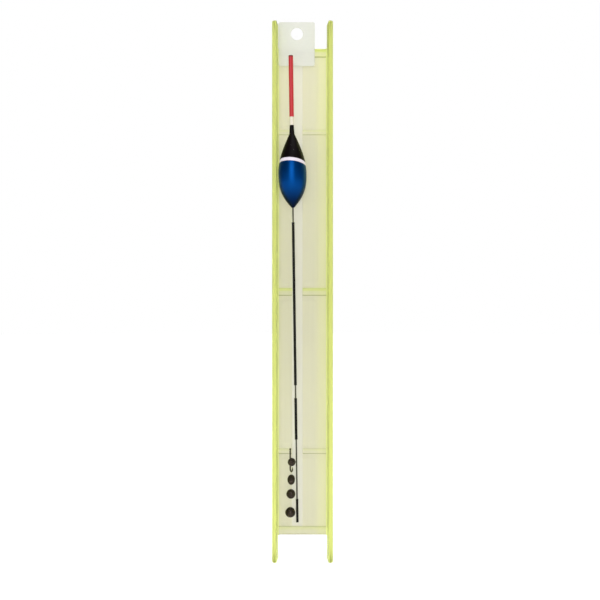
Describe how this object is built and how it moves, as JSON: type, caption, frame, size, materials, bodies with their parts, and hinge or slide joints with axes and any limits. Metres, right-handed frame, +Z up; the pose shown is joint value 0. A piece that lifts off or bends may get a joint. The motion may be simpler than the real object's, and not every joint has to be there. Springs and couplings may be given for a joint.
{
  "type": "bobber float",
  "caption": "Pole-fishing float rig on an H-section line winder: pear-shaped float with hollow antenna and sleeved stem, split shots and a spade-end hook, hung from a punched tab.",
  "frame": {"origin": "centre of the hang hole, in the middle of the tab's thickness", "axes": "+Z up along the winder, front of the winder towards -Y, +X to the right; the hang hole runs along Y"},
  "size_m": [0.028, 0.0199, 0.2508],
  "materials": {
    "winder_plastic": "translucent moulded plastic, satin",
    "tab_film": "frosted plastic film",
    "adhesive": "clear adhesive strip",
    "body_lacquer": "gloss lacquer: black top, white ring and metallic blue below",
    "eye_wire": "drawn wire",
    "antenna_red": "bright translucent red tube",
    "collar_white": "gloss white paint",
    "core_fibre": "ground glass fibre",
    "stem_fibre": "ground fibre, semi-matt",
    "sleeve_rubber": "black silicone tube",
    "shot_lead": "dull dark soft metal",
    "hook_wire": "bronzed wire"
  },
  "bodies": {
    "winder": {"winder": "winder_plastic", "hang_tab": "tab_film", "tab_adhesive": "adhesive"},
    "float": {"float_body": "body_lacquer", "line_eye": "eye_wire", "antenna": "antenna_red", "antenna_collar": "collar_white", "core_rod": "core_fibre", "stem": "stem_fibre"},
    "upper_sleeve": {"upper_sleeve": "sleeve_rubber"},
    "middle_sleeve": {"middle_sleeve": "sleeve_rubber"},
    "tip_sleeve": {"tip_sleeve": "sleeve_rubber"},
    "shot_1": {"shot_1": "shot_lead"},
    "shot_2": {"shot_2": "shot_lead"},
    "shot_3": {"shot_3": "shot_lead"},
    "shot_4": {"shot_4": "shot_lead"},
    "hook": {"hook": "hook_wire"}
  },
  "joints": [
    {"name": "float_lift", "type": "slide", "parent": "winder", "child": "float", "axis": [0, -1, 0], "range_m": [0, 0.03]},
    {"name": "upper_sleeve_slide", "type": "slide", "parent": "float", "child": "upper_sleeve", "axis": [-0.014, -0.0382, 0.9992], "range_m": [-0.0029, 0.0062]},
    {"name": "middle_sleeve_slide", "type": "slide", "parent": "float", "child": "middle_sleeve", "axis": [-0.014, -0.0382, 0.9992], "range_m": [-0.012, 0.0029]},
    {"name": "tip_sleeve_slide", "type": "slide", "parent": "float", "child": "tip_sleeve", "axis": [-0.014, -0.0382, 0.9992], "range_m": [-0.001, 0.012]},
    {"name": "shot_1_slide", "type": "slide", "parent": "winder", "child": "shot_1", "axis": [0.0279, 0, 0.9996], "range_m": [0, 0.006]},
    {"name": "shot_2_slide", "type": "slide", "parent": "winder", "child": "shot_2", "axis": [0.0279, 0, 0.9996], "range_m": [-0.0009, 0.0009]},
    {"name": "shot_3_slide", "type": "slide", "parent": "winder", "child": "shot_3", "axis": [0.0279, 0, 0.9996], "range_m": [-0.0019, 0.0009]},
    {"name": "shot_4_slide", "type": "slide", "parent": "winder", "child": "shot_4", "axis": [0.0279, 0, 0.9996], "range_m": [-0.003, 0.0018]},
    {"name": "hook_swing", "type": "hinge", "parent": "winder", "child": "hook", "pos_m": [-0.00314, -0.00045, -0.19368], "axis": [0, 1, 0], "range_deg": [-6, 6]}
  ]
}
